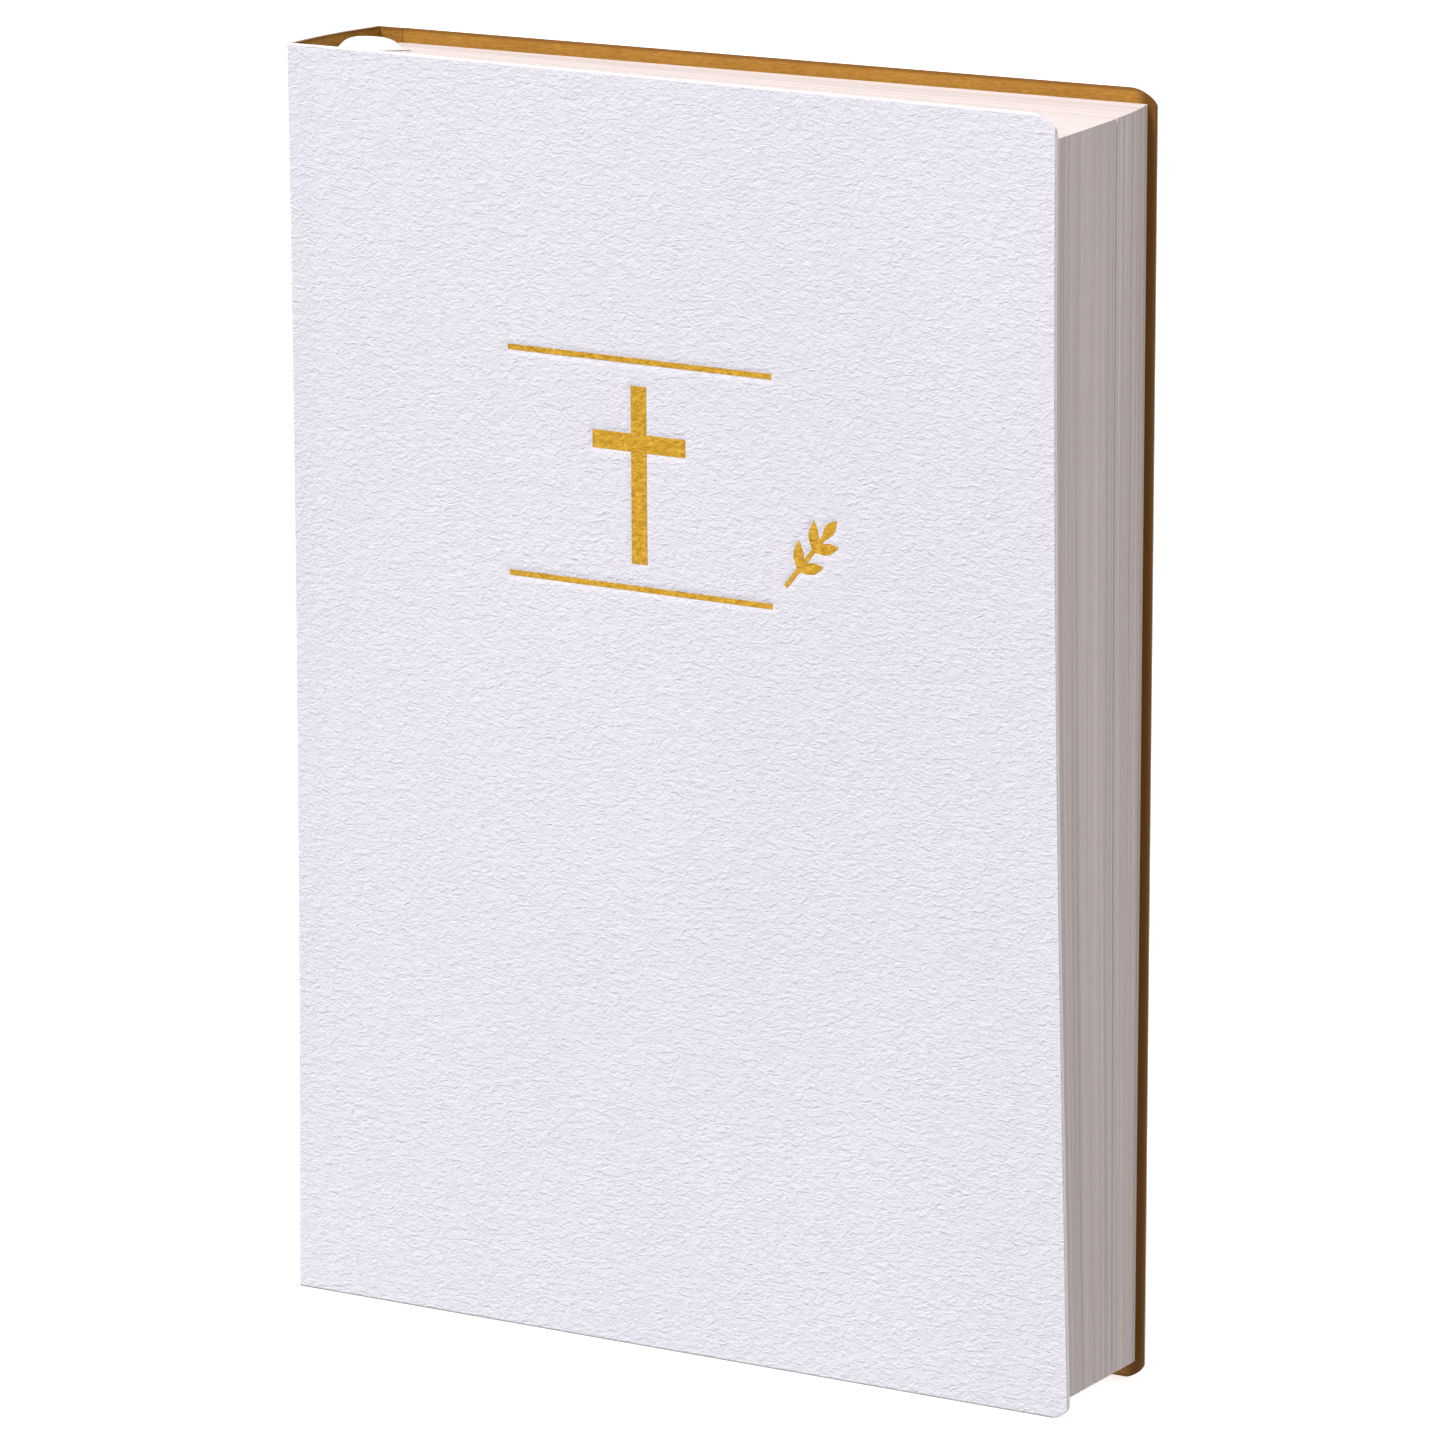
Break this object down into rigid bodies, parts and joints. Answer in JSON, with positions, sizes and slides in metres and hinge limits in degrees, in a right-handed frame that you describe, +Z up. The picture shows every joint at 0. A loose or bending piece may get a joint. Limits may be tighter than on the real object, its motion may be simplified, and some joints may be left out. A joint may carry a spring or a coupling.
{
  "type": "bible",
  "caption": "Soft-cover devotional book standing upright: white leatherette over thin brown card, page block that fans open, ribbon marker, gold-foil cross on the front.",
  "frame": {"origin": "middle of the book's bounding box, on the surface that it stands on", "axes": "+X from the spine to the fore-edge, +Y from the front cover to the back cover, +Z up from the foot to the head"},
  "size_m": [0.1502, 0.035, 0.21],
  "materials": {
    "leatherette": "white pebble-grained imitation leather, soft sheen",
    "card": "matt gold-brown fibrous card",
    "endpaper": "smooth matt cream endpaper",
    "pages": "matt thin book paper, cut edges",
    "lining": "open-weave mull glued over the backs of the sections",
    "ribbon": "white satin",
    "foil": "hot-stamped bright gold foil"
  },
  "bodies": {
    "spine": {"spine_card": "card", "spine_leatherette": "leatherette", "front_hinge_strip": "card", "back_hinge_strip": "card", "spine_lining": "lining", "ribbon_marker": "ribbon"},
    "front_flyleaf": {"front_flyleaf": "endpaper"},
    "front_cover": {"front_cover_card": "card", "front_cover_leatherette": "leatherette", "front_pastedown": "endpaper", "foil_rule_upper": "foil", "foil_rule_lower": "foil", "foil_cross": "foil", "foil_sprig": "foil"},
    "back_flyleaf": {"back_flyleaf": "endpaper"},
    "back_cover": {"back_cover_card": "card", "back_cover_leatherette": "leatherette", "back_pastedown": "endpaper"},
    "pages_01": {"pages_01": "pages"},
    "pages_02": {"pages_02": "pages"},
    "pages_03": {"pages_03": "pages"},
    "pages_04": {"pages_04": "pages"},
    "pages_05": {"pages_05": "pages"},
    "pages_06": {"pages_06": "pages"},
    "pages_07": {"pages_07": "pages"},
    "pages_08": {"pages_08": "pages"},
    "pages_09": {"pages_09": "pages"},
    "pages_10": {"pages_10": "pages"},
    "pages_11": {"pages_11": "pages"},
    "pages_12": {"pages_12": "pages"}
  },
  "joints": [
    {"name": "front_pages_fan", "type": "hinge", "parent": "spine", "child": "front_flyleaf", "pos_m": [-0.06875, -0.0097, 0.105], "axis": [0, 0, -1], "range_deg": [0, 60]},
    {"name": "front_cover_hinge", "type": "hinge", "parent": "front_flyleaf", "child": "front_cover", "pos_m": [-0.06875, -0.0097, 0.105], "axis": [0, 0, -1], "range_deg": [0, 120]},
    {"name": "rear_pages_fan", "type": "hinge", "parent": "spine", "child": "back_flyleaf", "pos_m": [-0.06875, 0.0178, 0.105], "axis": [0, 0, 1], "range_deg": [0, 60]},
    {"name": "back_cover_hinge", "type": "hinge", "parent": "back_flyleaf", "child": "back_cover", "pos_m": [-0.06875, 0.0178, 0.105], "axis": [0, 0, 1], "range_deg": [0, 120]},
    {"name": "pages_01_turn", "type": "hinge", "parent": "spine", "child": "pages_01", "pos_m": [-0.06875, -0.0078, 0.105], "axis": [0, 0, -1], "range_deg": [0, 43.4]},
    {"name": "pages_02_turn", "type": "hinge", "parent": "spine", "child": "pages_02", "pos_m": [-0.06875, -0.00579, 0.105], "axis": [0, 0, -1], "range_deg": [0, 40.2]},
    {"name": "pages_03_turn", "type": "hinge", "parent": "spine", "child": "pages_03", "pos_m": [-0.06875, -0.00377, 0.105], "axis": [0, 0, -1], "range_deg": [0, 37]},
    {"name": "pages_04_turn", "type": "hinge", "parent": "spine", "child": "pages_04", "pos_m": [-0.06875, -0.00176, 0.105], "axis": [0, 0, -1], "range_deg": [0, 33.8]},
    {"name": "pages_05_turn", "type": "hinge", "parent": "spine", "child": "pages_05", "pos_m": [-0.06875, 0.00026, 0.105], "axis": [0, 0, -1], "range_deg": [0, 30.6]},
    {"name": "pages_06_turn", "type": "hinge", "parent": "spine", "child": "pages_06", "pos_m": [-0.06875, 0.00228, 0.105], "axis": [0, 0, -1], "range_deg": [0, 27.4]},
    {"name": "pages_07_turn", "type": "hinge", "parent": "spine", "child": "pages_07", "pos_m": [-0.06875, 0.00429, 0.105], "axis": [0, 0, -1], "range_deg": [0, 24.2]},
    {"name": "pages_08_turn", "type": "hinge", "parent": "spine", "child": "pages_08", "pos_m": [-0.06875, 0.0063, 0.105], "axis": [0, 0, -1], "range_deg": [0, 21]},
    {"name": "pages_09_turn", "type": "hinge", "parent": "spine", "child": "pages_09", "pos_m": [-0.06875, 0.01048, 0.105], "axis": [0, 0, 1], "range_deg": [0, 31.75]},
    {"name": "pages_10_turn", "type": "hinge", "parent": "spine", "child": "pages_10", "pos_m": [-0.06875, 0.01229, 0.105], "axis": [0, 0, 1], "range_deg": [0, 36]},
    {"name": "pages_11_turn", "type": "hinge", "parent": "spine", "child": "pages_11", "pos_m": [-0.06875, 0.01409, 0.105], "axis": [0, 0, 1], "range_deg": [0, 40.25]},
    {"name": "pages_12_turn", "type": "hinge", "parent": "spine", "child": "pages_12", "pos_m": [-0.06875, 0.0159, 0.105], "axis": [0, 0, 1], "range_deg": [0, 44.5]}
  ],
  "couplings": [
    {"joint": "pages_01_turn", "follows": "front_pages_fan", "ratio": 0.72333},
    {"joint": "pages_02_turn", "follows": "front_pages_fan", "ratio": 0.67},
    {"joint": "pages_03_turn", "follows": "front_pages_fan", "ratio": 0.61667},
    {"joint": "pages_04_turn", "follows": "front_pages_fan", "ratio": 0.56333},
    {"joint": "pages_05_turn", "follows": "front_pages_fan", "ratio": 0.51},
    {"joint": "pages_06_turn", "follows": "front_pages_fan", "ratio": 0.45667},
    {"joint": "pages_07_turn", "follows": "front_pages_fan", "ratio": 0.40333},
    {"joint": "pages_08_turn", "follows": "front_pages_fan", "ratio": 0.35},
    {"joint": "pages_09_turn", "follows": "rear_pages_fan", "ratio": 0.52917},
    {"joint": "pages_10_turn", "follows": "rear_pages_fan", "ratio": 0.6},
    {"joint": "pages_11_turn", "follows": "rear_pages_fan", "ratio": 0.67083},
    {"joint": "pages_12_turn", "follows": "rear_pages_fan", "ratio": 0.74167}
  ]
}
